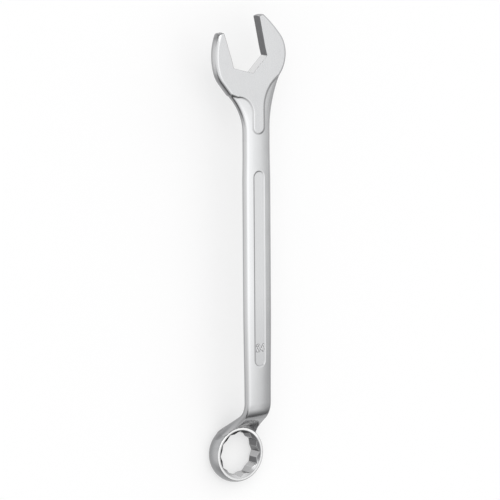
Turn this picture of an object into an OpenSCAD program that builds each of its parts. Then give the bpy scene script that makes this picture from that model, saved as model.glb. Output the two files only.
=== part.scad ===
// Combination wrench: a slanted open jaw at one end and an offset 12-point ring at the other.
// The real tool is one drop forging. It is drawn here as four zones that meet face to face
// on planes across the tool: ring_end, offset_neck, shank and open_end.
// Origin: the ring's axis, on the ring's back face. +X runs to the open end, +Z leaves the front.

/* [Drive] */
// Width across flats of the nut that both ends fit
nut_af = 24; // [22:0.5:25]
// Extra width of the jaw and of the socket over the nut
drive_clearance = 0.2; // [0.1:0.05:0.5]

/* [Ring end] */
// Diameter of the ring's machined flat faces
ring_face_d = 32; // [31:0.5:36]
// Bulge of the ring's outer wall past the flat faces
ring_bulge = 1.4; // [0.5:0.1:2]
// Height of the ring
ring_h = 10.4; // [8:0.2:14]
// Width of the flat annulus left between the bore's lead-in and the ring's edge
ring_land = 1.3; // [0.8:0.1:1.6]
// Depth of the lead-in chamfer at each mouth of the socket
socket_lead = 1.4; // [0.6:0.1:2.5]

/* [Offset neck] */
// Height of the shank's mid-plane above the ring's mid-plane
offset_h = 23.8; // [18:0.2:30]
// Slope of the neck's front, from the ring's plane
front_angle = 55; // [50:1:58]
// Slope of the neck's back, from the ring's plane
back_angle = 61; // [58:1:65]
// Width of the neck between its edge lines
neck_w = 15.3; // [13:0.1:17]
// Level distance through the neck, halfway up its back
neck_run = 6.4; // [5.6:0.1:8]
// Distance of the foot of the neck's front slope inside the ring's flat edge
foot_inset = 3.4; // [2:0.1:5]
// Bend radius at the top of the front slope
front_bend_r = 13; // [5:0.5:15]
// Bend radius at the top of the back slope
back_bend_r = 10.5; // [6:0.5:11]
// Bend radius where the back slope runs out over the ring
root_bend_r = 18; // [8:0.5:19]
// Bulge of the neck's side walls past its edge lines
neck_bulge = 1; // [0.7:0.1:1.4]
// Radius of the plan fillets where the neck widens into the ring
neck_fillet_r = 26; // [14:1:32]
// Radial growth, per unit of height, of the conical scoop that spot-faces the ring's front
scoop_slope = 0.45; // [0.3:0.05:0.6]

/* [Shank] */
// Widest width of the shank between its edge lines
shank_w = 16.3; // [15:0.1:19]
// Thickness of the shank along its centreline
shank_t = 6.1; // [5.6:0.1:6.6]
// Thickness of the shank at its edge lines
shank_edge_t = 4.7; // [4:0.1:5.4]
// Bulge of the forged side walls past the edge lines
side_bulge = 1.15; // [0.6:0.05:1.6]
// Distance from the ring's axis to where the shank reaches its full width
full_width_x = 90; // [80:1:130]
// Width of the panel recess at the surface
panel_w = 6.8; // [5:0.1:9]
// Depth of the panel recess below the centreline
panel_depth = 0.5; // [0.3:0.05:0.9]
// Distance from the ring's axis to the panel's lower end
panel_x = 50.5; // [46:0.5:60]
// Length of the panel
panel_l = 121.6; // [90:0.5:125]

/* [Open end] */
// Distance along the shank from the ring's axis to the nut's centre in the jaw
centres_l = 243.8; // [238:0.2:270]
// Sideways place of the nut's centre from the shank's centreline
jaw_shift = 7.5; // [5:0.1:9]
// Angle of the jaw to the shank
jaw_angle = 15; // [12:0.5:18]
// Thickness of the head between its machined faces
head_t = 6.8; // [6.6:0.1:9]
// Bulge of the head's forged outer wall past the flat faces
head_bulge = 2; // [1:0.1:2.6]
// Wall of the short jaw beside the nut
short_jaw_w = 8.7; // [7:0.1:11]
// Wall of the long jaw beside the nut
long_jaw_w = 14; // [12:0.1:16]
// Reach of the short jaw past the nut's centre, along the shank
short_jaw_l = 10.6; // [8:0.1:14]
// Reach of the long jaw past the nut's centre, along the shank
long_jaw_l = 20.2; // [17:0.1:22]
// Extra half-width of the jaw at its mouth
mouth_flare = 0.9; // [0:0.05:1.2]
// Width of the tongue that runs from the head's face down the shank
tongue_w = 6.6; // [5:0.1:8]
// Distance from the nut's centre back to the tongue's tip
tongue_l = 48.9; // [46:0.1:52]

/* [Hidden] */
$fn = 96;
steel = [0.76, 0.77, 0.78];

// Drive
drive_r = (nut_af + drive_clearance) / 2;
cut_over = 1;

// Ring
ring_r = ring_face_d / 2;
ring_wall_r = (ring_bulge * ring_bulge + ring_h * ring_h / 4) / (2 * ring_bulge);
lead_top_r = ring_r - ring_land;
scoop_over = 0.1;
scoop_h = 20;

// Shank heights and edge lines
mid_z = ring_h / 2 + offset_h;
edge_top = mid_z + shank_edge_t / 2;
edge_low = mid_z - shank_edge_t / 2;
crown = (shank_t - shank_edge_t) / 2;

// Neck profile: the corners of its two slopes, before the bends round them
front_foot = [ring_r - foot_inset - ring_h / tan(front_angle), 0];
front_corner = [front_foot.x + edge_top / tan(front_angle), edge_top];
root_floor = 0.8;
back_rise = edge_low - root_floor;
back_mid_x = front_foot.x + (edge_low + root_floor) / 2 / tan(front_angle) + neck_run;
back_corner = [back_mid_x + back_rise / 2 / tan(back_angle), edge_low];
back_foot = [back_mid_x - back_rise / 2 / tan(back_angle), root_floor];
fillet_y = neck_w / 2 + neck_fillet_r;
fillet_x = sqrt(pow(ring_r + neck_fillet_r, 2) - pow(fillet_y, 2));
root_x = fillet_x * ring_r / (ring_r + neck_fillet_r);
ring_cut_x = ring_r + ring_bulge + 0.2;
neck_top_x = max(
    back_corner.x + back_bend_r * tan(back_angle / 2),
    front_corner.x + front_bend_r * tan(front_angle / 2)
) + 2;

// Head: every place is measured from the nut's centre
nut_x = centres_l;
nut_y = jaw_shift;
head_half = head_t / 2;
head_z0 = mid_z - head_half;
tongue_r = tongue_w / 2;
tongue_tip_x = nut_x - tongue_l;
head_cut_x = tongue_tip_x - 5;
waist_w = 15.7;
waist_x = [nut_x - 79, nut_x - 61];
short_apex = [nut_x - 2.8, nut_y + drive_r + short_jaw_w];
short_arc_r = 34;
short_arc_c = short_apex - [0, short_arc_r];
short_bend_r = 16;
short_bend_a = [107, 129.4];
short_bend_c = short_arc_c + (short_arc_r - short_bend_r) * [cos(short_bend_a[0]), sin(short_bend_a[0])];
short_bend_end = short_bend_c + short_bend_r * [cos(short_bend_a[1]), sin(short_bend_a[1])];
long_arc_r = 18.5;
long_apex = [nut_x - 3, nut_y - drive_r - long_jaw_w];
long_flank_r = 85;
long_flank_from = -52;
tip_round = 2;
tip_flat = 0.9;
short_root_r = 10.9;
long_root_r = 22.2;
short_root_x = nut_x - 37.3;
long_root_x = nut_x - 34.3;
short_shoulder = [nut_x - 48.3, 31];
long_shoulder = [nut_x - 45.8, 70];
shoulder_end_x = nut_x - 15.6;
short_shoulder_x = nut_x - 24.6;
mouth_from = -2;
mouth_to = 14;
mouth_out = 34;

// Counts of facets
crown_n = 10;
side_n = 8;
wall_n = 6;

// ---- helpers ----

function span(a, b, n) = [for (i = [0:n]) i == n ? b : a + (b - a) * i / n];
function unit(v) = v / norm(v);
function ease(t) = let (c = min(max(t, 0), 1)) c * c * (3 - 2 * c);
function glide(x, x0, a, x1, b) = a + (b - a) * ease((x - x0) / (x1 - x0));
function arc(c, r, a0, a1, n) = [for (a = span(a0, a1, n)) c + r * [cos(a), sin(a)]];

// Depth that a bend of radius r, starting at x0, has dropped at x
function bend_drop(x, x0, r) = r - sqrt(max(r * r - pow(x0 - x, 2), 0));

// Height at x of a slope that bends into level lines over radii at both its corners
function cranked(x, high, low, angle, high_r, low_r) =
    let (high_reach = high_r * tan(angle / 2), low_reach = low_r * tan(angle / 2))
    x >= high.x + high_reach ? high.y :
    x >= high.x - high_reach * cos(angle) ? high.y - bend_drop(x, high.x + high_reach, high_r) :
    x >= low.x + low_reach * cos(angle) ? high.y - (high.x - x) * tan(angle) :
    x >= low.x - low_reach ? low.y + bend_drop(low.x - low_reach, x, low_r) :
    low.y;

// Points of a bulged wall of height 2h: [outward, up] from its mid-height, top to bottom
function bulged(h, b, n) =
    let (r = (b * b + h * h) / (2 * b), a = asin(min(h / r, 1)))
    [for (t = span(a, -a, n)) [r * cos(t) - r + b, r * sin(t)]];

// Solid through a list of closed outlines, all with the same number of points
module loft(rings) {
    n = len(rings[0]);
    last = len(rings) - 1;
    polyhedron(
        points = [for (ring = rings) each ring],
        faces = [
            [for (j = [0:n - 1]) j],
            [for (j = [n - 1:-1:0]) last * n + j],
            for (i = [0:last - 1], j = [0:n - 1]) let (k = (j + 1) % n)
                each [[i * n + j, (i + 1) * n + j, i * n + k], [i * n + k, (i + 1) * n + j, (i + 1) * n + k]]
        ]
    );
}

// ---- the forged bar: ring root, neck, shank and shoulders share one section ----

function top_z(x) = cranked(x, front_corner, front_foot, front_angle, front_bend_r, 0);
function low_z(x) = cranked(x, back_corner, back_foot, back_angle, back_bend_r, root_bend_r);

// Half-width between centreline and edge line, before the shoulders
function bar_half(x) =
    x < fillet_x ? fillet_y - sqrt(pow(neck_fillet_r, 2) - pow(fillet_x - x, 2)) :
    x < waist_x[0] ? glide(x, neck_top_x, neck_w / 2, full_width_x, shank_w / 2) :
    glide(x, waist_x[0], shank_w / 2, waist_x[1], waist_w / 2);

// Edge lines of the two shoulders; the short jaw's shoulder stays under the head's own wall
function flare(x, shoulder) = x < shoulder[0] ? 0 : bend_drop(x, shoulder[0], shoulder[1]);
function short_wall_y(x) =
    x < short_bend_end.x ? short_bend_end.y + (short_bend_end.x - x) / tan(short_bend_a[1]) :
    short_bend_c.y + sqrt(pow(short_bend_r, 2) - pow(x - short_bend_c.x, 2));
function short_half(x) =
    x < short_shoulder_x ? bar_half(x) + flare(x, short_shoulder) :
    min(bar_half(x) + flare(x, short_shoulder), short_wall_y(x) - 0.2);
function long_half(x) = bar_half(x) + flare(x, long_shoulder);
function bar_bulge(x, shoulder_bulge) =
    x < neck_top_x ? glide(x, fillet_x, neck_bulge, neck_top_x, side_bulge) :
    glide(x, short_shoulder[0], side_bulge, short_shoulder_x, shoulder_bulge);

// Closed outline of the bar across x: crowned faces, bulged sides
function bar_section(x) =
    let (
        top = top_z(x), low = low_z(x), mid = (top + low) / 2,
        left = short_half(x), right = long_half(x), half_t = (top - low) / 2,
        left_side = bulged(half_t, bar_bulge(x, head_bulge * 1.15), side_n),
        right_side = bulged(half_t, bar_bulge(x, head_bulge * 0.8), side_n)
    )
    [
        for (t = span(1, -1, crown_n)) [x, t > 0 ? t * left : t * right, top + crown * (1 - t * t)],
        for (k = [1:side_n - 1]) [x, -right - right_side[k].x, mid + right_side[k].y],
        for (t = span(-1, 1, crown_n)) [x, t > 0 ? t * left : t * right, low - crown * (1 - t * t)],
        for (k = [side_n - 1:-1:1]) [x, left + left_side[k].x, mid + left_side[k].y]
    ];

module bar(xs) {
    loft([for (x = xs) bar_section(x)]);
}

// ---- ring end ----

module ring_blank() {
    rotate_extrude()
        intersection() {
            square([ring_r + ring_bulge, ring_h]);
            union() {
                translate([ring_r + ring_bulge - ring_wall_r, ring_h / 2])
                    circle(r = ring_wall_r);
                square([ring_r - ring_bulge, ring_h]);
            }
        }
}

module hexagon(apothem) {
    circle(r = apothem / cos(30), $fn = 6);
}

// Twelve-point socket: two hexagons, a corner of one of them on the shank's centreline
module socket() {
    translate([0, 0, -cut_over])
        linear_extrude(ring_h + 2 * cut_over) {
            hexagon(drive_r);
            rotate([0, 0, 30])
                hexagon(drive_r);
        }
}

module socket_leads() {
    inner_r = drive_r / cos(15);
    grow = (lead_top_r - inner_r) / socket_lead;
    for (up = [0, 1])
        translate([0, 0, up * ring_h])
            mirror([0, 0, 1 - up])
                translate([0, 0, -socket_lead])
                    cylinder(h = socket_lead + cut_over, r1 = inner_r, r2 = lead_top_r + grow * cut_over);
}

// Conical cutter that leaves the ring's front face flat and hollows the foot of the neck
module scoop() {
    translate([0, 0, ring_h])
        cylinder(h = scoop_h, r1 = ring_r + scoop_over, r2 = ring_r + scoop_over + scoop_h * scoop_slope);
}

module ring_end() {
    color(steel)
        difference() {
            union() {
                ring_blank();
                bar(span(root_x, ring_cut_x, 6));
            }
            scoop();
            socket();
            socket_leads();
        }
}

// ---- offset neck ----

module offset_neck() {
    color(steel)
        difference() {
            bar(span(ring_cut_x, neck_top_x, 24));
            scoop();
        }
}

// ---- shank ----

// Sunk panel with drafted walls and round ends, as deep again outside so that it cuts cleanly
module panel_cut() {
    draft = panel_depth;
    top_r = panel_w / 2 + draft;
    hull()
        for (x = [panel_x + panel_w / 2, panel_x + panel_l - panel_w / 2])
            translate([x, 0, mid_z + shank_t / 2 - panel_depth])
                cylinder(h = 2 * draft, r1 = top_r - draft, r2 = top_r + draft, $fn = 32);
}

module shank() {
    color(steel)
        difference() {
            bar([
                each span(neck_top_x, full_width_x, 8),
                waist_x[0] - 18,
                each span(waist_x[0], waist_x[1], 6),
                head_cut_x
            ]);
            panel_cut();
            translate([0, 0, 2 * mid_z])
                mirror([0, 0, 1])
                    panel_cut();
        }
}

// ---- open end ----

// Turn of an arc of radius r round c where a tip, rounded off inside it, is to end at x
function tip_angle(c, r, x) = acos((x - tip_round - c.x) / (r - tip_round));

// Edge line of the head's flat faces, from the tongue's tip round by the long jaw, closed at the mouth
function head_edge() =
    let (
        long_c = long_apex + [0, long_arc_r],
        flank_start = long_c + long_arc_r * [cos(long_flank_from), sin(long_flank_from)],
        flank_c = flank_start - long_flank_r * [cos(long_flank_from), sin(long_flank_from)],
        long_tip_a = -tip_angle(flank_c, long_flank_r, nut_x + long_jaw_l),
        long_tip = flank_c + (long_flank_r - tip_round) * [cos(long_tip_a), sin(long_tip_a)],
        short_tip_a = tip_angle(short_arc_c, short_arc_r, nut_x + short_jaw_l),
        short_tip = short_arc_c + (short_arc_r - tip_round) * [cos(short_tip_a), sin(short_tip_a)]
    )
    [
        each arc([tongue_tip_x + tongue_r, 0], tongue_r, 180, 270, 6),
        each arc([long_root_x, -tongue_r - long_root_r], long_root_r, 90, 31, 10),
        each arc(long_c, long_arc_r, -124, long_flank_from, 12),
        each arc(flank_c, long_flank_r, long_flank_from + 2, long_tip_a, 5),
        each arc(long_tip, tip_round, long_tip_a + 14, 0, 2),
        [nut_x + long_jaw_l, nut_y - drive_r + 6],
        [nut_x + short_jaw_l, nut_y + drive_r - 2],
        each arc(short_tip, tip_round, 0, short_tip_a - 16, 3),
        each arc(short_arc_c, short_arc_r, short_tip_a, short_bend_a[0], 8),
        each arc(short_bend_c, short_bend_r, short_bend_a[0] + 4, short_bend_a[1], 4),
        [short_shoulder_x, short_wall_y(short_shoulder_x)],
        each arc([short_root_x, tongue_r + short_root_r], short_root_r, 0, -90, 8),
        each arc([tongue_tip_x + tongue_r, 0], tongue_r, 90, 165, 5)
    ];

// The edge line pushed out along its normals, less and less as they turn to face the mouth
function pushed(line, d) =
    let (n = len(line))
    [for (i = [0:n - 1])
        let (t = unit(line[(i + 1) % n] - line[(i + n - 1) % n]))
        line[i] + d * (1 - tip_flat * pow(max(t.y, 0), 3)) * [t.y, -t.x]];

module head_plate() {
    line = head_edge();
    wall = bulged(head_half, head_bulge, wall_n);
    loft([for (w = wall) [for (p = pushed(line, w.x)) [p.x, p.y, mid_z - w.y]]]);
}

// Hexagonal throat that opens into parallel jaws with a slightly flared mouth
module throat() {
    side = drive_r / sqrt(3);
    flare_out = mouth_flare * (mouth_out - mouth_from) / (mouth_to - mouth_from);
    translate([nut_x, nut_y, head_z0 - cut_over])
        rotate([0, 0, jaw_angle])
            linear_extrude(head_t + 2 * cut_over)
                polygon([
                    [-2 * side, 0],
                    [-side, -drive_r],
                    [mouth_from, -drive_r],
                    [mouth_out, -drive_r - flare_out],
                    [mouth_out, drive_r + flare_out],
                    [mouth_from, drive_r],
                    [-side, drive_r]
                ]);
}

module open_end() {
    color(steel)
        difference() {
            union() {
                head_plate();
                bar([head_cut_x, each span(short_shoulder[0], shoulder_end_x, 12)]);
            }
            throat();
        }
}

ring_end();
offset_neck();
shank();
open_end();
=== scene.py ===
"""Looks for the combination wrench: four zones of one satin-chromed forging, as smooth surfaces.

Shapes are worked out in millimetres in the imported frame: +X runs to the open end, +Z leaves the front.
Each zone is the zero surface of a field, a function of (x, y, z) that is negative inside the steel.
A surface net turns the field into quads, and neighbouring zones share the ring of points at their join.
"""

import math

import bmesh
import bpy
import numpy as np
from mathutils import Matrix, Vector
from mathutils.bvhtree import BVHTree


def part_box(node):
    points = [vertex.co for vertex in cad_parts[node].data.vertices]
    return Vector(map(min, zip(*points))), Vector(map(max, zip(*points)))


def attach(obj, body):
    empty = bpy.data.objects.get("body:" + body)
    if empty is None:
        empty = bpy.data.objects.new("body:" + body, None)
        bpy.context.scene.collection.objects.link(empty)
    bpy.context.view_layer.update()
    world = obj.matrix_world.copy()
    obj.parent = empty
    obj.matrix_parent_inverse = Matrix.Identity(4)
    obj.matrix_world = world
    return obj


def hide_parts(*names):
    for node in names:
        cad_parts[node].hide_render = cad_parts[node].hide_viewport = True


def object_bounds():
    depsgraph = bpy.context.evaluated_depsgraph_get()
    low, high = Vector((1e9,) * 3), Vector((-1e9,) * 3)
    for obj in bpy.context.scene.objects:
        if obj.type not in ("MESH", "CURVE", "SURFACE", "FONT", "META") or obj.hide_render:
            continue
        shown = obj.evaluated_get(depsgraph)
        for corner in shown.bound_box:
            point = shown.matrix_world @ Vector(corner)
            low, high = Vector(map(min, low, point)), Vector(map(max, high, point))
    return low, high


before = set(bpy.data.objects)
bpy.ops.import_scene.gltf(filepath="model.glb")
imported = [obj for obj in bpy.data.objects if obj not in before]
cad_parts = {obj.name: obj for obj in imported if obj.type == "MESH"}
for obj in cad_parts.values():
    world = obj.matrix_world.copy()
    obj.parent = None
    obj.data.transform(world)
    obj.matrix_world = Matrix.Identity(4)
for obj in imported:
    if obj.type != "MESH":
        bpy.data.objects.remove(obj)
CAD_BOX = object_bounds()
MM = 0.001

# ---- image points, in the photograph's 500 x 500 frame ----

IMAGE_SIZE = (500, 500)
POINTS = {
    "left_edge": (209.3, None),
    "right_edge": (285.7, None),
    "top_edge": (None, 13.8),
    "bottom_edge": (None, 481.9),
    "short_jaw_inner_tip": (226.0, 34.5),
    "long_jaw_inner_tip": (259.1, 14.2),
    "throat_corner": (253.5, 73.5),
    "short_jaw_root": (233.9, 68.2),
    "long_jaw_root": (266.5, 55.4),
    "tongue_tip": (258.9, 133.3),
    "panel_top_end": (259.5, 171.5),
    "panel_low_end": (260.5, 366.0),
    "ring_face_right": (261.9, None),
    "ring_face_low": (None, 480.0),
    "size_number": (260.2, 347.7),
}

# ---- camera, settled by the image points ----

CAMERA_AT = (0.44773, 1.29754, 1.97096)
CAMERA_AIM = (0.12569, 0.00478, 0.029)
CAMERA_ROLL = 0.3876
CAMERA_LENS = 288.04
SENSOR_WIDTH = 36.0

# ---- light ----

# A tent open at both ends: a bright band over the part from side to side, a lighter roof, dim ends.
# A flag dims one low side and a glow lights the open end. All levels were matched to the photograph.
TENT_LEVEL = 0.12
TENT_MOST, ZENITH_MOST, ZENITH_FROM, ZENITH_TO = 1.12, 1.5, 0.86, 0.98
BAND_LEVEL, BAND_FROM, BAND_TO = 0.9, 0.1, 0.85
ROOF_LEVEL, ROOF_FROM, ROOF_TO = 0.9, 0.05, 0.9
LAMP_SIDE_LEVEL, LAMP_SIDE_FROM, LAMP_SIDE_TO = 0.75, 0.05, 0.55
GLOW_FROM, GLOW_START, GLOW_FULL, GLOW_LEVEL = (0.9, -0.4, 0.12), 0.6, 0.95, 0.8
FLAG_FROM, FLAG_START, FLAG_DIMS = (-0.3, -0.8, 0.52), 0.9, 0.5
# How much of the floor is plain white to the camera and to reflections; the rest shows the shadow
FLOOR_WHITE = 0.5
FLOOR_HALF, FLOOR_GAP = 4.0, 0.0002
KEY_FROM, KEY_LEVEL, KEY_WIDTH = (0.5, 0.45, 0.74), 0.45, 34.0

# ---- tones of the steel, with painted shade, painted highlights and painted reflections ----

TONE_PLAIN = (0.63, 0.635, 0.645, 1), (0.68, 0.685, 0.69, 1)
# Painted shade on the sides of the bar, ring and head, and deeper painted shade where the sides face either
# end
TONE_FLANK_SHADE, TONE_FLANK_END_SHADE = (0.58, 0.583, 0.59, 1), (0.2, 0.2, 0.205, 1)
# Painted shade on surfaces turned from the view, and darker painted shade where they are seen edge-on
TONE_TURNED_SHADE, TONE_RIM_SHADE = (0.36, 0.363, 0.37, 1), (0.26, 0.26, 0.265, 1)
# Painted shade on broached walls that face away from the mouth, and painted light on those that face it
TONE_CUT_AWAY_SHADE, TONE_CUT_TO_MOUTH_LIGHT = (0.16, 0.16, 0.165, 1), (0.78, 0.78, 0.785, 1)
# Painted shade in corners and at the feet of walls, and painted highlights on edges
TONE_CORNER_SHADE, TONE_EDGE_HIGHLIGHT = (0.25, 0.25, 0.255, 1), (0.9, 0.9, 0.9, 1)
# Painted shade darkens the steel along X, in metres, from the first place to the ring end's
TONE_RING_END_SHADE, RING_END_SHADE_X, RING_END_SHADE_MOST = (0.16, 0.16, 0.165, 1), (0.1, 0.02), 0.33

# ---- sizes in millimetres and degrees: the solids' own, but for PANEL_X and PANEL_L ----

NUT_AF = 24.0
DRIVE_CLEARANCE = 0.2
DRIVE_R = (NUT_AF + DRIVE_CLEARANCE) / 2
RING_R, RING_BULGE, RING_H = 16.0, 1.4, 10.4
RING_LAND, SOCKET_LEAD = 1.3, 1.4
OFFSET_H, FRONT_ANGLE, BACK_ANGLE = 23.8, 55.0, 61.0
NECK_W, NECK_RUN, FOOT_INSET = 15.3, 6.4, 3.4
FRONT_BEND_R, BACK_BEND_R, ROOT_BEND_R = 13.0, 10.5, 18.0
NECK_BULGE, NECK_FILLET_R, SCOOP_SLOPE = 1.0, 26.0, 0.45
SHANK_W, SHANK_T, SHANK_EDGE_T, SIDE_BULGE = 16.3, 6.1, 4.7, 1.15
FULL_WIDTH_X, WAIST_W = 90.0, 15.7
PANEL_W, PANEL_DEPTH = 6.8, 0.5
# The photograph's panel. The solids' one starts at 50.5 and is 121.6 long, which is too far towards the ring
PANEL_X, PANEL_L = 56.4, 115.7
NUT = np.array([243.8, 7.5])
JAW_ANGLE, HEAD_T, HEAD_BULGE = 15.0, 6.8, 2.0
SHORT_JAW_W, LONG_JAW_W, SHORT_JAW_L, LONG_JAW_L = 8.7, 14.0, 10.6, 20.2
MOUTH_FLARE, MOUTH_FROM, MOUTH_TO = 0.9, -2.0, 14.0
TONGUE_W, TONGUE_L, TIP_ROUND, TIP_FLAT = 6.6, 48.9, 2.0, 0.9

MID_Z = RING_H / 2 + OFFSET_H
EDGE_TOP = MID_Z + SHANK_EDGE_T / 2
EDGE_LOW = MID_Z - SHANK_EDGE_T / 2
CROWN = (SHANK_T - SHANK_EDGE_T) / 2
HEAD_HALF = HEAD_T / 2
LEAD_TOP_R = RING_R - RING_LAND
ROOT_FLOOR = 0.8

# Raised size number on the panel's floor, read with the open end up
DIGIT_H, DIGIT_W, DIGIT_GAP, DIGIT_STROKE = 4.4, 2.3, 0.8, 0.62
DIGIT_RAISE, DIGIT_SUNK, DIGIT_DRAFT = 0.28, 0.15, 0.35
DIGIT_SKIRT, SKIRT_RAISE = 0.34, 0.03

# Edge radii that a forging, a grinding wheel and a broach leave
FORGED_EDGE = 0.55
RING_EDGE = 0.45
GROUND_EDGE = 0.25
CUT_EDGE = 0.22
NECK_BLEND = 4.0
SHOULDER_BLEND = 0.3

# Size of the net's cells, of the longer ones along the plain shank, and of the digits'
CELL = 0.3
SHANK_CELL = 0.6
DIGIT_CELL = 0.09

# ---- helpers ----


def tan(degrees):
    return math.tan(math.radians(degrees))


def cos(degrees):
    return math.cos(math.radians(degrees))


def sin(degrees):
    return math.sin(math.radians(degrees))


def ease(t):
    c = np.clip(t, 0, 1)
    return c * c * (3 - 2 * c)


def glide(x, x0, a, x1, b):
    return a + (b - a) * ease((x - x0) / (x1 - x0))


def smooth_max(a, b, radius):
    h = np.maximum(radius - np.abs(a - b), 0) / radius
    return np.maximum(a, b) + h * h * radius / 4


def smooth_min(a, b, radius):
    return -smooth_max(-a, -b, radius)


def turned(x, y, degrees):
    return x * cos(degrees) + y * sin(degrees), y * cos(degrees) - x * sin(degrees)


def arc(centre, r, a0, a1, n):
    turns = np.radians(np.linspace(a0, a1, n + 1))
    return [np.asarray(centre) + r * np.array([math.cos(a), math.sin(a)]) for a in turns]


def bulge(z, mid, half, amount):
    """How far a round-bulged wall stands out at z, and the factor that makes the step from it a distance."""
    r = (amount * amount + half * half) / (2 * amount)
    reach = np.minimum(1.2 * half, 0.96 * r)
    height = np.clip(z - mid, -reach, reach)
    flat = np.sqrt(r * r - height * height)
    return flat - r + amount, flat / r


# ---- profile of the forged bar: neck, shank and shoulders ----

FRONT_FOOT = (RING_R - FOOT_INSET - RING_H / tan(FRONT_ANGLE), 0.0)
FRONT_CORNER = (FRONT_FOOT[0] + EDGE_TOP / tan(FRONT_ANGLE), EDGE_TOP)
BACK_MID_X = FRONT_FOOT[0] + (EDGE_LOW + ROOT_FLOOR) / 2 / tan(FRONT_ANGLE) + NECK_RUN
BACK_HALF_RUN = (EDGE_LOW - ROOT_FLOOR) / 2 / tan(BACK_ANGLE)
BACK_CORNER = (BACK_MID_X + BACK_HALF_RUN, EDGE_LOW)
BACK_FOOT = (BACK_MID_X - BACK_HALF_RUN, ROOT_FLOOR)
FILLET_Y = NECK_W / 2 + NECK_FILLET_R
FILLET_X = math.sqrt((RING_R + NECK_FILLET_R) ** 2 - FILLET_Y**2)
ROOT_X = FILLET_X * RING_R / (RING_R + NECK_FILLET_R)
RING_CUT_X = RING_R + RING_BULGE + 0.2
NECK_TOP_X = max(
    BACK_CORNER[0] + BACK_BEND_R * tan(BACK_ANGLE / 2),
    FRONT_CORNER[0] + FRONT_BEND_R * tan(FRONT_ANGLE / 2),
) + 2
TONGUE_R = TONGUE_W / 2
TONGUE_TIP_X = NUT[0] - TONGUE_L
HEAD_CUT_X = TONGUE_TIP_X - 5
WAIST_X = (NUT[0] - 79, NUT[0] - 61)

SHORT_APEX = NUT + [-2.8, DRIVE_R + SHORT_JAW_W]
SHORT_ARC_R, SHORT_BEND_R, SHORT_BEND_A = 34.0, 16.0, (107.0, 129.4)
SHORT_ARC_C = SHORT_APEX - [0, SHORT_ARC_R]
SHORT_BEND_WAYS = [np.array([cos(a), sin(a)]) for a in SHORT_BEND_A]
SHORT_BEND_C = SHORT_ARC_C + (SHORT_ARC_R - SHORT_BEND_R) * SHORT_BEND_WAYS[0]
SHORT_BEND_END = SHORT_BEND_C + SHORT_BEND_R * SHORT_BEND_WAYS[1]
LONG_APEX = NUT + [-3, -DRIVE_R - LONG_JAW_W]
LONG_ARC_R, LONG_FLANK_R, LONG_FLANK_FROM = 18.5, 85.0, -52.0
SHORT_ROOT_R, LONG_ROOT_R = 10.9, 22.2
SHORT_ROOT_X, LONG_ROOT_X = NUT[0] - 37.3, NUT[0] - 34.3
SHORT_SHOULDER, LONG_SHOULDER = (NUT[0] - 48.3, 31.0), (NUT[0] - 45.8, 70.0)
SHOULDER_END_X = NUT[0] - 15.6
SHORT_SHOULDER_X = NUT[0] - 24.6


def bend_drop(run, r):
    return r - np.sqrt(np.maximum(r * r - np.square(run), 0))


def cranked(x, high, low, angle, high_r, low_r):
    """Height at x of a slope that bends into level lines over radii at both its corners."""
    high_reach = high_r * tan(angle / 2)
    low_reach = low_r * tan(angle / 2)
    return np.select(
        [
            x >= high[0] + high_reach,
            x >= high[0] - high_reach * cos(angle),
            x >= low[0] + low_reach * cos(angle),
            x >= low[0] - low_reach,
        ],
        [
            high[1],
            high[1] - bend_drop(high[0] + high_reach - x, high_r),
            high[1] - (high[0] - x) * tan(angle),
            low[1] + bend_drop(x - low[0] + low_reach, low_r),
        ],
        low[1],
    )


def short_wall_y(x):
    along_line = SHORT_BEND_END[1] + (SHORT_BEND_END[0] - x) / tan(SHORT_BEND_A[1])
    on_bend = SHORT_BEND_C[1] + np.sqrt(np.maximum(SHORT_BEND_R**2 - (x - SHORT_BEND_C[0]) ** 2, 0))
    return np.where(x < SHORT_BEND_END[0], along_line, on_bend)


def bar_profile():
    """Table along X of the bar's heights, edge lines and side bulges."""
    x = np.linspace(RING_R - 8, SHOULDER_END_X + 2, 8001)
    top = cranked(x, FRONT_CORNER, FRONT_FOOT, FRONT_ANGLE, FRONT_BEND_R, 0.0)
    low = cranked(x, BACK_CORNER, BACK_FOOT, BACK_ANGLE, BACK_BEND_R, ROOT_BEND_R)
    fillet = FILLET_Y - np.sqrt(np.maximum(NECK_FILLET_R**2 - (FILLET_X - x) ** 2, 0))
    plain = np.where(
        x < WAIST_X[0],
        glide(x, NECK_TOP_X, NECK_W / 2, FULL_WIDTH_X, SHANK_W / 2),
        glide(x, WAIST_X[0], SHANK_W / 2, WAIST_X[1], WAIST_W / 2),
    )
    half = np.where(x < FILLET_X, fillet, plain)
    left = half + bend_drop(np.maximum(x - SHORT_SHOULDER[0], 0), SHORT_SHOULDER[1])
    left = np.where(x < SHORT_SHOULDER_X, left, np.minimum(left, short_wall_y(x) - 0.2))
    right = half + bend_drop(np.maximum(x - LONG_SHOULDER[0], 0), LONG_SHOULDER[1])
    side = glide(x, FILLET_X, NECK_BULGE, NECK_TOP_X, SIDE_BULGE)
    to_head = ease((x - SHORT_SHOULDER[0]) / (SHORT_SHOULDER_X - SHORT_SHOULDER[0]))
    return {
        "x": x,
        "top": top,
        "low": low,
        "top_slope": np.gradient(top, x),
        "low_slope": np.gradient(low, x),
        "left": left,
        "right": right,
        "left_bulge": side + to_head * (HEAD_BULGE * 1.15 - side),
        "right_bulge": side + to_head * (HEAD_BULGE * 0.8 - side),
    }


BAR = bar_profile()


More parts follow.
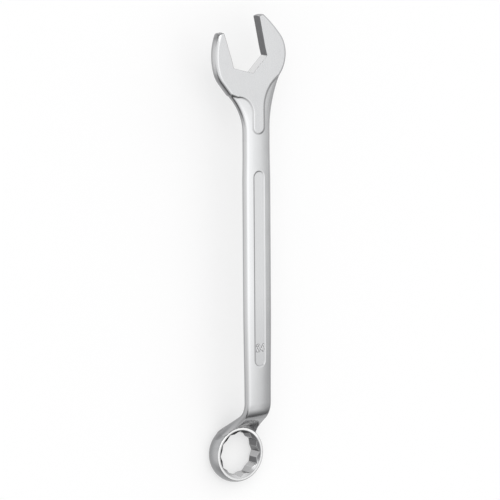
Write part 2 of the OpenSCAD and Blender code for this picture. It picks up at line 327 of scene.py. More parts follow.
def bar_parts(x, y, z):
    """The forged bar's two limits: crowned faces between edge lines, and bulged sides."""
    at = {k: np.interp(x, BAR["x"], v) for k, v in BAR.items() if k != "x"}
    half = np.where(y > 0, at["left"], at["right"])
    amount = np.where(y > 0, at["left_bulge"], at["right_bulge"])
    crowned = CROWN * (1 - np.square(np.clip(y / half, -1.25, 1.25)))
    top = (z - at["top"] - crowned) / np.sqrt(1 + np.square(at["top_slope"]))
    low = (at["low"] - crowned - z) / np.sqrt(1 + np.square(at["low_slope"]))
    out, scale = bulge(z, (at["top"] + at["low"]) / 2, (at["top"] - at["low"]) / 2, amount)
    return np.maximum(top, low), (np.abs(y) - half - out) * scale


def bar_field(x, y, z):
    return smooth_max(*bar_parts(x, y, z), FORGED_EDGE)


# ---- ring end and neck ----


def bore_field(x, y, z):
    """The 12-point socket and the cones that lead into it."""
    socket = np.full(np.broadcast(x, y).shape, 1e3)
    for start in (0, 30):
        flats = [np.abs(turned(x, y, start + a)[0]) for a in (30, 90, 150)]
        socket = np.minimum(socket, np.maximum.reduce(flats) - DRIVE_R)
    corner_r = DRIVE_R / cos(15)
    grow = (LEAD_TOP_R - corner_r) / SOCKET_LEAD
    depth = np.clip(np.minimum(z, RING_H - z), -1, SOCKET_LEAD + 1)
    lead = (np.hypot(x, y) - LEAD_TOP_R + grow * depth) / math.hypot(1, grow)
    return smooth_min(socket, lead, 0.1)


def scoop_field(x, y, z):
    """Conical cutter that spot-faces the ring's front and hollows the foot of the neck."""
    cone = np.hypot(x, y) - RING_R - 0.1 - (z - RING_H) * SCOOP_SLOPE
    return np.maximum(RING_H - z, cone / math.hypot(1, SCOOP_SLOPE))


def ring_field(x, y, z):
    out, scale = bulge(z, RING_H / 2, RING_H / 2, RING_BULGE)
    wall = (np.hypot(x, y) - RING_R - out) * scale
    ring = smooth_max(wall, z - RING_H, RING_EDGE)
    faces, side = bar_parts(x, y, z)
    bar = np.maximum(smooth_max(faces, side, FORGED_EDGE), ROOT_X - x)
    forged = smooth_min(ring, bar, NECK_BLEND)
    forged = np.maximum(forged, np.minimum(wall, np.maximum(side, ROOT_X - x)))
    forged = smooth_max(forged, -scoop_field(x, y, z), CUT_EDGE)
    forged = smooth_max(forged, -z, RING_EDGE)
    return smooth_max(forged, -bore_field(x, y, z), CUT_EDGE)


# ---- shank ----


def panel_parts(x, y, z):
    """Distances to the sunk panel's drafted wall and above its floor, the same on both faces."""
    along = np.clip(x, PANEL_X + PANEL_W / 2, PANEL_X + PANEL_L - PANEL_W / 2)
    floor_z = SHANK_T / 2 - PANEL_DEPTH
    height = np.abs(z - MID_Z) - floor_z
    return (np.hypot(x - along, y) - PANEL_W / 2 - height) / math.sqrt(2), height


def panel_field(x, y, z):
    wall, height = panel_parts(x, y, z)
    return smooth_max(wall, -height, 0.25)


def shank_field(x, y, z):
    return smooth_max(bar_field(x, y, z), -panel_field(x, y, z), 0.2)


# ---- open end ----


def on_circle(centre, r, angle):
    return np.asarray(centre) + r * np.array([cos(angle), sin(angle)])


def tip_angle(centre, r, x):
    return math.degrees(math.acos((x - TIP_ROUND - centre[0]) / (r - TIP_ROUND)))


def head_arcs():
    """Edge line of the head's ground faces as arcs (centre, radius, from, to), the metal on their left."""
    long_c = LONG_APEX + [0, LONG_ARC_R]
    flank_c = on_circle(on_circle(long_c, LONG_ARC_R, LONG_FLANK_FROM), -LONG_FLANK_R, LONG_FLANK_FROM)
    long_a = -tip_angle(flank_c, LONG_FLANK_R, NUT[0] + LONG_JAW_L)
    short_a = tip_angle(SHORT_ARC_C, SHORT_ARC_R, NUT[0] + SHORT_JAW_L)
    return [
        ([TONGUE_TIP_X + TONGUE_R, 0], TONGUE_R, 90, 270),
        ([LONG_ROOT_X, -TONGUE_R - LONG_ROOT_R], LONG_ROOT_R, 90, 31),
        (long_c, LONG_ARC_R, -124, LONG_FLANK_FROM),
        (flank_c, LONG_FLANK_R, LONG_FLANK_FROM, long_a),
        (on_circle(flank_c, LONG_FLANK_R - TIP_ROUND, long_a), TIP_ROUND, long_a, 0),
        (on_circle(SHORT_ARC_C, SHORT_ARC_R - TIP_ROUND, short_a), TIP_ROUND, 0, short_a),
        (SHORT_ARC_C, SHORT_ARC_R, short_a, SHORT_BEND_A[0]),
        (SHORT_BEND_C, SHORT_BEND_R, *SHORT_BEND_A),
        ([SHORT_SHOULDER_X, float(short_wall_y(SHORT_SHOULDER_X))], 0, 0, 0),
        ([SHORT_ROOT_X, TONGUE_R + SHORT_ROOT_R], SHORT_ROOT_R, 0, -90),
    ]


HEAD_ARCS = head_arcs()


def edge_line_field(x, y):
    """Signed distance to the head's edge line, and how squarely it faces the mouth there."""
    ends = [[on_circle(c, r, a) for a in (a0, a1)] for c, r, a0, a1 in HEAD_ARCS]
    best = np.full(x.shape, 1e9)
    signed = np.zeros(x.shape)
    facing = np.zeros(x.shape)
    inside = np.zeros(x.shape, bool)

    def take(distance, side, nx):
        closer = distance < best
        best[closer] = distance[closer]
        signed[closer] = side[closer]
        facing[closer] = np.broadcast_to(nx, x.shape)[closer]

    corners = []
    for (c, r, a0, a1), (start, end) in zip(HEAD_ARCS, ends):
        dx, dy = x - c[0], y - c[1]
        away = np.hypot(dx, dy)
        middle, half = math.radians((a0 + a1) / 2), math.radians(abs(a1 - a0) / 2)
        turn = np.arctan2(dy, dx) - middle
        turn = np.abs((turn + math.pi) % (2 * math.pi) - math.pi)
        way = 1 if a1 > a0 else -1
        step = np.where(turn <= half, (away - r) * way, 1e9)
        take(np.abs(step), step, way * dx / np.maximum(away, 1e-6))
        corners += arc(c, r, a0, a1, 24)
    corners = np.array(corners)
    for a, b in zip(corners, np.roll(corners, -1, axis=0)):
        if a[1] != b[1]:
            inside ^= ((a[1] > y) != (b[1] > y)) & (x < a[0] + (y - a[1]) * (b - a)[0] / (b - a)[1])
    side = np.where(inside, -1.0, 1.0)
    for (_, end), (start, _) in zip(ends, ends[1:] + ends[:1]):
        run = start - end
        length = math.hypot(*run)
        if length < 1e-6:
            continue
        t = np.clip(((x - end[0]) * run[0] + (y - end[1]) * run[1]) / length**2, 0, 1)
        distance = np.hypot(x - end[0] - t * run[0], y - end[1] - t * run[1])
        take(distance, side * distance, run[1] / length)
    return signed, facing


def throat_field(x, y):
    """Hexagonal throat that opens into parallel jaws with a slightly flared mouth."""
    u, v = turned(x - NUT[0], y - NUT[1], JAW_ANGLE)
    v = np.abs(v)
    flare = np.maximum(u - MOUTH_FROM, 0) * MOUTH_FLARE / (MOUTH_TO - MOUTH_FROM)
    back = -u * cos(30) + v * sin(30) - DRIVE_R
    return np.maximum(v - DRIVE_R - flare, back)


def plate_field(x, y, z):
    """The head's plate: ground faces, and a bulged wall that flattens towards the tips."""
    line, facing = edge_line_field(*np.broadcast_arrays(x, y))
    out, scale = bulge(z, MID_Z, HEAD_HALF, HEAD_BULGE)
    kept = 1 - TIP_FLAT * np.maximum(facing, 0) ** 3
    wall = (line - out * kept) * scale
    return smooth_max(wall, np.abs(z - MID_Z) - HEAD_HALF, GROUND_EDGE)


def head_field(x, y, z):
    bar = np.maximum(bar_field(x, y, z), x - SHOULDER_END_X)
    head = smooth_min(plate_field(x, y, z), bar, SHOULDER_BLEND)
    return smooth_max(head, -throat_field(x, y), CUT_EDGE)


# ---- size number ----


def digit_strokes():
    """Middle lines of a 2 and a 4, across and up the number, from its lower left corner."""
    inset = DIGIT_STROKE / 2
    left, right, top = inset, DIGIT_W - inset, DIGIT_H - inset
    bowl_r = (right - left) / 2
    bowl = arc((left + bowl_r, top - bowl_r), bowl_r, 170, -35, 14)
    two = [*bowl, (left, inset), (right, inset)]
    start = DIGIT_W + DIGIT_GAP
    bar_y = DIGIT_H * 0.27
    four = [(start + right - 0.1, top), (start + left, bar_y), (start + right + 0.15, bar_y)]
    stem = [(start + right - 0.5, inset), (start + right - 0.5, DIGIT_H * 0.52)]
    return [np.array(line, float) for line in (two, four, stem)]


DIGIT_LINES = digit_strokes()
NUMBER_W = 2 * DIGIT_W + DIGIT_GAP


def number_field(across, up, height):
    """Raised strokes with drafted sides, on a thin skirt. height is above the panel's floor."""
    best = np.full(np.broadcast(across, up).shape, 1e3)
    for line in DIGIT_LINES:
        for a, b in zip(line[:-1], line[1:]):
            run = b - a
            t = np.clip(((across - a[0]) * run[0] + (up - a[1]) * run[1]) / run.dot(run), 0, 1)
            best = np.minimum(best, np.hypot(across - a[0] - t * run[0], up - a[1] - t * run[1]))
    wall = best - DIGIT_STROKE / 2 + DIGIT_DRAFT * height
    stroke = smooth_max(wall, height - DIGIT_RAISE, 0.12)
    skirt = np.maximum(best - DIGIT_STROKE / 2 - DIGIT_SKIRT, height - SKIRT_RAISE)
    return np.maximum(np.minimum(stroke, skirt), -DIGIT_SUNK - height)


def size_number(place):
    """The nut size as one closed piece per figure, its middle at a place on the panel's floor."""
    x0, y0 = place[0] / MM - DIGIT_H / 2, place[1] / MM + NUMBER_W / 2
    floor_z = MID_Z + SHANK_T / 2 - PANEL_DEPTH

    def field(x, y, z):
        return number_field(y0 - y, x - x0, z - floor_z)

    # Painted highlight on the figures' tops
    def digit_top_highlight(p, n):
        return 0.6 * (p[:, 2] - floor_z > DIGIT_RAISE / 2)

    # Painted shade at the foot of the figures
    def digit_foot_shade(p, n):
        return 1 - (p[:, 2] - floor_z) / DIGIT_RAISE

    reach = DIGIT_SKIRT + 2 * DIGIT_CELL
    xs = lattice(x0 - reach, x0 + DIGIT_H + reach, DIGIT_CELL)
    ys = lattice(y0 - NUMBER_W - reach, y0 + reach, DIGIT_CELL)
    zs = lattice(floor_z - DIGIT_SUNK, floor_z + DIGIT_RAISE, DIGIT_CELL / 2)
    points, quads = net(field, xs, ys, zs, DIGIT_CELL / 2)
    return skin("size_number", field, points, quads, {"edge": digit_top_highlight, "corner": digit_foot_shade})


# ---- surface nets ----


def lattice(low, high, step):
    """Grid planes at odd halves of a step, so that zones share them and no plane lies on a face."""
    first = math.floor(low / step) - 1
    last = math.ceil(high / step) + 1
    return (np.arange(first, last + 1) + 0.37) * step


def columns(start, end, step, first_join, last_join):
    """Grid planes along X, with a cell centred on each join."""
    low = start + (CELL / 2 if first_join else 0)
    high = end - (CELL / 2 if last_join else 0)
    count = max(int(round((high - low) / step)), 1)
    planes = np.linspace(low, high, count + 1)
    ahead = [start - CELL / 2] if first_join else []
    behind = [end + CELL / 2] if last_join else []
    return np.concatenate([ahead, planes, behind])


def gradient(field, p, step=0.02):
    g = np.empty_like(p)
    for k in range(3):
        shift = np.zeros(3)
        shift[k] = step
        g[:, k] = (field(*(p + shift).T) - field(*(p - shift).T)) / (2 * step)
    return g


def net(field, xs, ys, zs, cell_size, joins=()):
    """Quads over the zero surface of a field. joins are the places along X that this zone shares."""
    values = field(xs[:, None, None], ys[None, :, None], zs[None, None, :]).astype(np.float32)
    inside = values < 0
    grid = [xs, ys, zs]
    total = np.zeros(tuple(n - 1 for n in values.shape) + (3,), np.float32)
    count = np.zeros(total.shape[:3], np.float32)
    crossings = []
    for axis in range(3):
        low = [slice(None)] * 3
        high = [slice(None)] * 3
        low[axis], high[axis] = slice(None, -1), slice(1, None)
        a, b = values[tuple(low)], values[tuple(high)]
        edge = np.argwhere((a < 0) != (b < 0))
        va, vb = a[tuple(edge.T)], b[tuple(edge.T)]
        t = va / (va - vb)
        at = np.stack([grid[k][edge[:, k]] for k in range(3)], 1)
        at[:, axis] += t * (grid[axis][edge[:, axis] + 1] - grid[axis][edge[:, axis]])
        crossings.append((axis, edge, va < 0))
        others = [k for k in range(3) if k != axis]
        for du in (0, 1):
            for dv in (0, 1):
                cell = edge.copy()
                cell[:, others[0]] -= du
                cell[:, others[1]] -= dv
                ok = np.all((cell >= 0) & (cell < np.array(count.shape)), axis=1)
                np.add.at(total, tuple(cell[ok].T), at[ok])
                np.add.at(count, tuple(cell[ok].T), 1)
    active = count > 0
    index = np.full(count.shape, -1)
    index[active] = np.arange(active.sum())
    points = (total[active] / count[active][:, None]).astype(float)
    cells = np.argwhere(active)

    for _ in range(3):
        slope = gradient(field, points)
        size = np.maximum(np.sum(slope * slope, 1), 0.05)
        step = -field(*points.T) / size
        points += np.clip(step, -cell_size / 2, cell_size / 2)[:, None] * slope
    for place in joins:
        column = np.searchsorted(xs, place) - 1
        points[cells[:, 0] == column, 0] = place

    quads = []
    for axis, edge, starts_inside in crossings:
        u, v = [(1, 2), (2, 0), (0, 1)][axis]
        keep = (edge[:, u] > 0) & (edge[:, v] > 0)
        keep &= (edge[:, u] < count.shape[u]) & (edge[:, v] < count.shape[v])
        if axis == 0:
            for place in joins:
                keep &= edge[:, 0] != np.searchsorted(xs, place) - 1
        edge, starts_inside = edge[keep], starts_inside[keep]
        corner = []
        for du, dv in ((1, 1), (0, 1), (0, 0), (1, 0)):
            cell = edge.copy()
            cell[:, u] -= du
            cell[:, v] -= dv
            corner.append(index[tuple(cell.T)])
        quad = np.stack(corner, 1)
        quad[~starts_inside] = quad[~starts_inside][:, ::-1]
        quads.append(quad)
    return points, np.concatenate(quads)


def unit_rows(v):
    return v / np.maximum(np.linalg.norm(v, axis=1, keepdims=True), 1e-9)


def bend(field, p, reach=0.3):
    """How sharply the surface bends outwards: 1 on a square edge."""
    total = -6 * field(*p.T)
    for k in range(3):
        shift = np.zeros(3)
        shift[k] = reach
        total += field(*(p + shift).T) + field(*(p - shift).T)
    return total / (2 * reach)


def add_mask(mesh, name, values):
    layer = mesh.attributes.new(name, "FLOAT", "POINT")
    layer.data.foreach_set("value", np.clip(values, 0, 1).astype(np.float32))


def cap_joins(mesh, joins):
    """Closes the open ends at the joins, so that each zone is a closed shell."""
    bm = bmesh.new()
    bm.from_mesh(mesh)
    for place in joins:
        rim = [e for e in bm.edges if e.is_boundary and abs(e.verts[0].co.x - place * MM) < 1e-7]
        made = bmesh.ops.contextual_create(bm, geom=rim)["faces"]
        for face in made:
            face.smooth = False
    bm.to_mesh(mesh)
    bm.free()


def zone(node, field, step, y_range, z_range, start=None, end=None, masks=None):
    """One zone of the forging as an object that stands for its CAD node."""
    low, high = [np.array(corner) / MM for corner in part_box(node)]
    xs = columns(
        low[0] - CELL if start is None else start,
        high[0] + CELL if end is None else end,
        step,
        start is not None,
        end is not None,
    )
    joins = [place for place in (start, end) if place is not None]
    points, quads = net(field, xs, lattice(*y_range, CELL), lattice(*z_range, CELL), CELL, joins)
    piece = skin(node + "_skin", field, points, quads, masks)
    cap_joins(piece.data, joins)
    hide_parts(node)
    return piece


def skin(name, field, points, quads, masks=None):
    """An object from a net, shaded by the field's own slope."""
    normals = unit_rows(gradient(field, points))
    mesh = bpy.data.meshes.new(name)
    mesh.from_pydata((points * MM).tolist(), [], quads.tolist())
    mesh.polygons.foreach_set("use_smooth", [True] * len(mesh.polygons))
    # The edge mask is a painted highlight on convex edges
    masks = {"edge": lambda p, n: bend(field, p), **(masks or {})}
    for mask, function in masks.items():
        add_mask(mesh, mask, function(points, normals))
    mesh.normals_split_custom_set_from_vertices(normals.tolist())
    piece = bpy.data.objects.new(name, mesh)
    bpy.context.scene.collection.objects.link(piece)
    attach(piece, "root")
    return piece


# ---- masks: where the steel is ground or broached, and where shade and highlights are painted on its walls, edges and corners ----


def near(distance, reach=0.25):
    return 1 - np.clip(np.abs(distance) / reach, 0, 1)


def ring_ground(p, n):
    level = np.minimum(np.abs(p[:, 2]), np.abs(p[:, 2] - RING_H))
    return near(level, 0.15) * (np.abs(n[:, 2]) > 0.9)


# Painted highlight on the ring's edges and on its ground faces
def ring_edge_and_face_highlight(p, n):
    return bend(ring_field, p) + ring_ground(p, n)


def ring_broached(p, n):
    return near(bore_field(*p.T), 0.3)


def head_ground(p, n):
    return near(np.abs(p[:, 2] - MID_Z) - HEAD_HALF, 0.12) * (np.abs(n[:, 2]) > 0.9)


def head_broached(p, n):
    return near(throat_field(p[:, 0], p[:, 1]), 0.3)


def head_corner_shade(p, n):
    """Painted shade at the foot of the plate's wall, where it stands on the forged bar."""
    foot = 1.1 - (np.abs(plate_field(*p.T)) + np.abs(bar_field(*p.T))) / 0.45
    below_face = np.clip((HEAD_HALF - np.abs(p[:, 2] - MID_Z)) / 0.15, 0, 1)
    return 0.65 * np.clip(foot, 0, 1) * below_face


# Painted shade on the bar's sides
def bar_flank_shade(p, n):
    faces, side = bar_parts(*p.T)
    return 0.5 + (side - faces) / 0.3


def ring_flank_shade(p, n):
    """Painted shade on the ring's wall and the neck's sides, less so where they face the open end."""
    out, scale = bulge(p[:, 2], RING_H / 2, RING_H / 2, RING_BULGE)
    wall = (np.hypot(p[:, 0], p[:, 1]) - RING_R - out) * scale
    sides = np.where(p[:, 0] > ROOT_X, bar_flank_shade(p, n), 0)
    return np.maximum(near(wall, 0.5), sides) * (1 - 0.85 * np.clip(n[:, 0] / 0.35, 0, 1))


# Faint painted highlight on the head's edges
def head_edge_highlight(p, n):
    return 0.12 * bend(head_field, p)


# Painted shade on the head's wall and on the bar's sides
def head_flank_shade(p, n):
    on_plate = near(plate_field(*p.T), 0.2) * (np.abs(n[:, 2]) < 0.97)
    return np.maximum(on_plate * (throat_field(p[:, 0], p[:, 1]) < -0.3), bar_flank_shade(p, n))


def panel_corner_shade(p, n):
    """Painted shade at the foot of the panel's wall."""
    wall, height = panel_parts(*p.T)
    return (1.1 - (np.abs(wall) + np.abs(height)) / 0.5) * 0.35


# ---- materials ----


def node_maker(material):
    tree = material.node_tree
    tree.nodes.clear()

    def make(kind, inputs=None, **settings):
        node = tree.nodes.new(kind)
        for key, value in settings.items():
            setattr(node, key, value)
        for key, value in (inputs or {}).items():
            if isinstance(value, bpy.types.NodeSocket):
                tree.links.new(value, node.inputs[key])
            else:
                node.inputs[key].default_value = value
        return node

    return make


def satin_chrome():
    """Satin chrome over a forging, with ground faces and broached walls.

    The tones beyond the plain one are painted shade, painted highlights and painted reflections of the
    studio, which the metal mirrors.
    """
    material = bpy.data.materials.new("satin_chrome")
    material.use_nodes = True
    make = node_maker(material)
    shape = make("ShaderNodeNewGeometry").outputs
    place = shape["Position"]

    def mask(name):
        return make("ShaderNodeAttribute", attribute_name=name).outputs["Fac"]

    def noise(vector, scale, detail):
        return make("ShaderNodeTexNoise", {"Vector": vector, "Scale": scale, "Detail": detail}).outputs["Fac"]

    def drawn_out(stretch, detail):
        stretched = make("ShaderNodeVectorMath", {0: place, 1: stretch}, operation="MULTIPLY")
        return noise(stretched.outputs[0], 1.0, detail)

    def ramp(value, start, full, **settings):
        ends = {"Value": value, "From Min": start, "From Max": full}
        return make("ShaderNodeMapRange", {**ends, **settings}).outputs[0]

    def soft_ramp(value, start, full):
        ends = {"Value": value, "From Min": start, "From Max": full}
        return make("ShaderNodeMapRange", ends, interpolation_type="SMOOTHSTEP").outputs[0]

    def mix(factor, a, b):
        return make("ShaderNodeMix", {0: factor, 2: a, 3: b}).outputs[0]

    def blend(factor, a, b):
        return make("ShaderNodeMix", {0: factor, 6: a, 7: b}, data_type="RGBA").outputs[2]

    ground, broached = mask("ground"), mask("broached")
    # The corner mask carries painted shade, the edge mask painted highlights, and the last mask painted shade
    # on the sides
    corner, edge, flank_shade = mask("corner"), mask("edge"), mask("flank_shade")

    blast = noise(place, 4200.0, 3.0)
    cloud = noise(place, 90.0, 2.0)
    scratch = drawn_out((150.0, 6000.0, 6000.0), 4.0)
    broach_line = drawn_out((5000.0, 5000.0, 120.0), 2.0)
    grain = mix(broached, mix(ground, blast, scratch), broach_line)
    bump = make("ShaderNodeBump", {"Strength": 0.12, "Distance": 0.0001, "Height": grain}).outputs[0]

    forged_rough = ramp(cloud, 0.3, 0.7, **{"To Min": 0.16, "To Max": 0.22})
    ground_rough = ramp(scratch, 0.3, 0.7, **{"To Min": 0.24, "To Max": 0.34})
    rough = mix(ground, forged_rough, ground_rough)

    facing = make("ShaderNodeLayerWeight", {"Blend": 0.5, "Normal": bump}).outputs["Facing"]
    end_way = make("ShaderNodeSeparateXYZ", {"Vector": shape["Normal"]}).outputs["X"]
    end_turn = make("ShaderNodeMath", {0: end_way}, operation="ABSOLUTE").outputs[0]
    # Deeper painted shade on the sides where they face either end, by the normal's X
    flank_end_shade = soft_ramp(end_turn, 0.08, 0.5)
    flank_end_shade = make("ShaderNodeMath", {0: flank_end_shade, 1: flank_shade}, operation="MULTIPLY").outputs[0]
    # Painted shade and painted light on broached walls, by which way they face along X
    cut_shade_and_light = blend(soft_ramp(end_way, 0.0, 0.7), TONE_CUT_AWAY_SHADE, TONE_CUT_TO_MOUTH_LIGHT)
    along = make("ShaderNodeSeparateXYZ", {"Vector": place}).outputs["X"]

    tone = blend(cloud, *TONE_PLAIN)
    # Painted shade on the sides
    tone = blend(flank_shade, tone, TONE_FLANK_SHADE)
    # Deeper painted shade on sides that face either end
    tone = blend(flank_end_shade, tone, TONE_FLANK_END_SHADE)
    # Painted shade on surfaces turned away from the view
    tone = blend(soft_ramp(facing, 0.18, 0.6), tone, TONE_TURNED_SHADE)
    # Painted shade and light on the broached walls
    tone = blend(broached, tone, cut_shade_and_light)
    # Darker painted shade where surfaces are seen edge-on
    tone = blend(soft_ramp(facing, 0.5, 0.95), tone, TONE_RIM_SHADE)
    # Painted shade towards the ring end
    tone = blend(ramp(along, *RING_END_SHADE_X, **{"To Max": RING_END_SHADE_MOST}), tone, TONE_RING_END_SHADE)
    # Painted shade in corners
    tone = blend(corner, tone, TONE_CORNER_SHADE)
    # Painted highlights on edges
    tone = blend(edge, tone, TONE_EDGE_HIGHLIGHT)
    steel = make(
        "ShaderNodeBsdfPrincipled", {"Base Color": tone, "Metallic": 1.0, "Roughness": rough, "Normal": bump}
    )
    make("ShaderNodeOutputMaterial", {"Surface": steel.outputs[0]})
    return material


def floor_paper():
    """Plain pale paper, white to the camera and to reflections, which keeps the shadow."""
    material = bpy.data.materials.new("floor_paper")
    material.use_nodes = True
    make = node_maker(material)
    place = make("ShaderNodeNewGeometry").outputs["Position"]
    grain = make("ShaderNodeTexNoise", {"Vector": place, "Scale": 700.0, "Detail": 2.0}).outputs["Fac"]
    bump = make("ShaderNodeBump", {"Strength": 0.05, "Distance": 0.0002, "Height": grain})
    paper = make("ShaderNodeBsdfDiffuse", {"Color": (0.9, 0.9, 0.9, 1), "Normal": bump.outputs[0]})
    white = make("ShaderNodeEmission", {"Color": (1, 1, 1, 1), "Strength": 1.0})
    path = make("ShaderNodeLightPath").outputs
    rays = {0: path["Is Camera Ray"], 1: path["Is Glossy Ray"]}
    seen = make("ShaderNodeMath", rays, operation="ADD").outputs[0]
    seen = make("ShaderNodeMath", {0: seen, 1: FLOOR_WHITE}, operation="MULTIPLY").outputs[0]
    both = make("ShaderNodeMixShader", {0: seen, 1: paper.outputs[0], 2: white.outputs[0]})
    make("ShaderNodeOutputMaterial", {"Surface": both.outputs[0]})
    return material


# ---- stage ----


def make_floor():
    mesh = bpy.data.meshes.new("floor")
    bm = bmesh.new()
    bmesh.ops.create_grid(bm, x_segments=8, y_segments=8, size=FLOOR_HALF)
    bm.to_mesh(mesh)
    bm.free()
    floor = bpy.data.objects.new("floor", mesh)
    floor.location.z = CAD_BOX[0][2] - FLOOR_GAP
    floor.data.materials.append(floor_paper())
    bpy.context.scene.collection.objects.link(floor)


def make_world():
    """A tent of light with a band from side to side, brightest overhead, and dim towards both ends."""
    world = bpy.data.worlds.new("light_tent")
    bpy.context.scene.world = world
    world.use_nodes = True
    make = node_maker(world)
    way = make("ShaderNodeTexCoord").outputs["Generated"]

    def ramp(value, start, full, at_start, at_full):
        ends = {"Value": value, "From Min": start, "From Max": full, "To Min": at_start, "To Max": at_full}
        return make("ShaderNodeMapRange", ends, interpolation_type="SMOOTHSTEP").outputs[0]

    def both(operation, a, b):
        return make("ShaderNodeMath", {0: a, 1: b}, operation=operation).outputs[0]

    def towards(middle):
        unit = Vector(middle).normalized()
        return make("ShaderNodeVectorMath", {0: way, 1: unit}, operation="DOT_PRODUCT").outputs["Value"]

    x, _, z = make("ShaderNodeSeparateXYZ", {"Vector": way}).outputs
    across = make("ShaderNodeMath", {0: x}, operation="ABSOLUTE").outputs[0]
    band = ramp(across, BAND_FROM, BAND_TO, BAND_LEVEL + TENT_LEVEL, TENT_LEVEL)
    roof = ramp(z, ROOF_FROM, ROOF_TO, 0.0, ROOF_LEVEL)
    most = ramp(z, ZENITH_FROM, ZENITH_TO, TENT_MOST, ZENITH_MOST)
    tent = both("MINIMUM", both("ADD", band, roof), most)
    tent = both("SUBTRACT", tent, ramp(towards(FLAG_FROM), FLAG_START, 1.0, 0.0, FLAG_DIMS))
    tent = both("MULTIPLY", tent, ramp(x, LAMP_SIDE_FROM, LAMP_SIDE_TO, 1.0, LAMP_SIDE_LEVEL))
    level = both("ADD", tent, ramp(towards(GLOW_FROM), GLOW_START, GLOW_FULL, 0.0, GLOW_LEVEL))
    sky = make("ShaderNodeBackground", {"Color": (1, 1, 1, 1), "Strength": level})
    make("ShaderNodeOutputWorld", {"Surface": sky.outputs[0]})


def make_key():
    """Broad, weak key lamp, high on the open end's and short jaw's side."""
    lamp = bpy.data.lights.new("key_lamp", "SUN")
    lamp.angle = math.radians(KEY_WIDTH)
    lamp.energy = KEY_LEVEL
    holder = bpy.data.objects.new("key_lamp", lamp)
    holder.rotation_euler = Vector(KEY_FROM).to_track_quat("Z", "Y").to_euler()
    holder.location = KEY_FROM
    bpy.context.scene.collection.objects.link(holder)


def make_camera():
    data = bpy.data.cameras.new("camera")
    data.sensor_fit = "AUTO"
    data.sensor_width = SENSOR_WIDTH
    data.lens = CAMERA_LENS
    data.clip_start = 0.05
    data.clip_end = 50.0
    camera = bpy.data.objects.new("camera", data)
    at, aim = Vector(CAMERA_AT), Vector(CAMERA_AIM)
    back = (at - aim).normalized()
    right = Vector((1, 0, 0)).cross(back).normalized()
    up = back.cross(right)
    camera.matrix_world = (
        Matrix.Translation(at)
        @ Matrix((right, up, back)).transposed().to_4x4()
        @ Matrix.Rotation(-math.radians(CAMERA_ROLL), 4, "Z")
    )
    bpy.context.scene.collection.objects.link(camera)
    bpy.context.scene.camera = camera
    return camera


def to_image(camera, point):
    """Pixel of the photograph's frame at which a point of the part shows."""
    width, height = IMAGE_SIZE
    longest = max(width, height)
    p = camera.matrix_world.inverted() @ Vector(point)
    scale = longest * camera.data.lens / camera.data.sensor_width / -p.z
    x = width / 2 + p.x * scale - camera.data.shift_x * longest
    y = height / 2 - p.y * scale + camera.data.shift_y * longest
    return x, y


def place_at(camera, tree, pixel):
    """Place at which the ray through a pixel meets the surface, or the place nearest the ray."""
    width, height = IMAGE_SIZE
    longest = max(width, height)
    data = camera.data
    ray = Vector(
        (
            pixel[0] - width / 2 + data.shift_x * longest,
            height / 2 - pixel[1] + data.shift_y * longest,
            -longest * data.lens / data.sensor_width,
        )
    )
    start = camera.matrix_world.translation
    ray = (camera.matrix_world.to_3x3() @ ray).normalized()
    hit, *_ = tree.ray_cast(start, ray)
    if hit is None:
        foot = start + ray * (Vector(CAMERA_AIM) - start).dot(ray)
        hit, *_ = tree.find_nearest(foot)
    return hit


def feature_places():
    """Where the named features of the photograph are on the part, in millimetres."""
    face_z = MID_Z + HEAD_HALF
    crest_z = MID_Z + SHANK_T / 2

    def in_jaw(u, v):
        x, y = turned(u, v, -JAW_ANGLE)
        return (x + NUT[0], y + NUT[1], face_z)

    def jaw_tip(side, length):
        u = length
        for _ in range(20):
            v = side * (DRIVE_R + (u - MOUTH_FROM) * MOUTH_FLARE / (MOUTH_TO - MOUTH_FROM))
            u = (length + v * sin(JAW_ANGLE)) / cos(JAW_ANGLE)
        return in_jaw(u, v)

    root_u = -DRIVE_R * tan(30)
    return {
        "short_jaw_inner_tip": jaw_tip(1, SHORT_JAW_L),
        "long_jaw_inner_tip": jaw_tip(-1, LONG_JAW_L),
        "throat_corner": in_jaw(-DRIVE_R / cos(30), 0),
        "short_jaw_root": in_jaw(root_u, DRIVE_R),
        "long_jaw_root": in_jaw(root_u, -DRIVE_R),
        "tongue_tip": (TONGUE_TIP_X, 0, face_z),
        "panel_top_end": (PANEL_X + PANEL_L + PANEL_DEPTH, 0, crest_z),
        "panel_low_end": (PANEL_X - PANEL_DEPTH, 0, crest_z),
    }


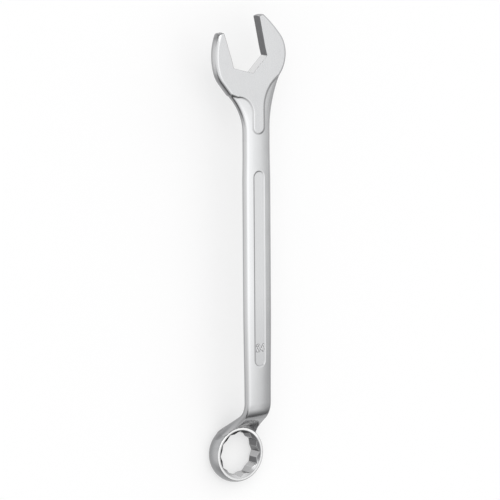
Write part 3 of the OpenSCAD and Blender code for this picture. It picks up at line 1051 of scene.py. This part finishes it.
def write_points(camera, pieces, number_at):
    """Works out each image point's error in pixels: edges by the finished vertices, features by their places.
    Nothing is written out.
    """
    seen = np.array([to_image(camera, v.co) for piece in pieces for v in piece.data.vertices])
    rim = np.array([to_image(camera, Vector((*p, RING_H)) * MM) for p in arc((0, 0), RING_R, 0, 360, 720)])
    found = {name: to_image(camera, Vector(place) * MM) for name, place in feature_places().items()}
    found.update(
        left_edge=(seen[:, 0].min(), None),
        right_edge=(seen[:, 0].max(), None),
        top_edge=(None, seen[:, 1].min()),
        bottom_edge=(None, seen[:, 1].max()),
        ring_face_right=(rim[:, 0].max(), None),
        ring_face_low=(None, rim[:, 1].max()),
        size_number=to_image(camera, number_at),
    )
    errors = {
        name: [None if want is None else round(float(got) - want, 2) for got, want in zip(found[name], pixel)]
        for name, pixel in POINTS.items()
    }


# ---- the part ----

camera = make_camera()
make_world()
make_floor()
make_key()

steel = satin_chrome()
pieces = [
    zone(
        "ring_end", ring_field, CELL, (-18.5, 18.5), (0, 20), end=RING_CUT_X,
        masks={"ground": ring_ground, "broached": ring_broached, "edge": ring_edge_and_face_highlight, "flank_shade": ring_flank_shade},
    ),
    zone(
        "offset_neck", ring_field, CELL, (-12, 12), (3, 33), start=RING_CUT_X, end=NECK_TOP_X,
        masks={"flank_shade": ring_flank_shade},
    ),
    zone(
        "shank", shank_field, SHANK_CELL, (-10.5, 10.5), (25, 33), start=NECK_TOP_X, end=HEAD_CUT_X,
        masks={"corner": panel_corner_shade, "flank_shade": bar_flank_shade},
    ),
    zone(
        "open_end", head_field, CELL, (-22, 32), (25, 33), start=HEAD_CUT_X,
        masks={
            "ground": head_ground, "broached": head_broached, "edge": head_edge_highlight,
            "corner": head_corner_shade, "flank_shade": head_flank_shade,
        },
    ),
]
shank_tree = BVHTree.FromPolygons(
    [v.co for v in pieces[2].data.vertices], [tuple(f.vertices) for f in pieces[2].data.polygons]
)
number_at = place_at(camera, shank_tree, POINTS["size_number"])
pieces.append(size_number(number_at))
for piece in pieces:
    piece.data.materials.append(steel)
write_points(camera, pieces, number_at)

scene = bpy.context.scene
scene.view_settings.view_transform = "Standard"
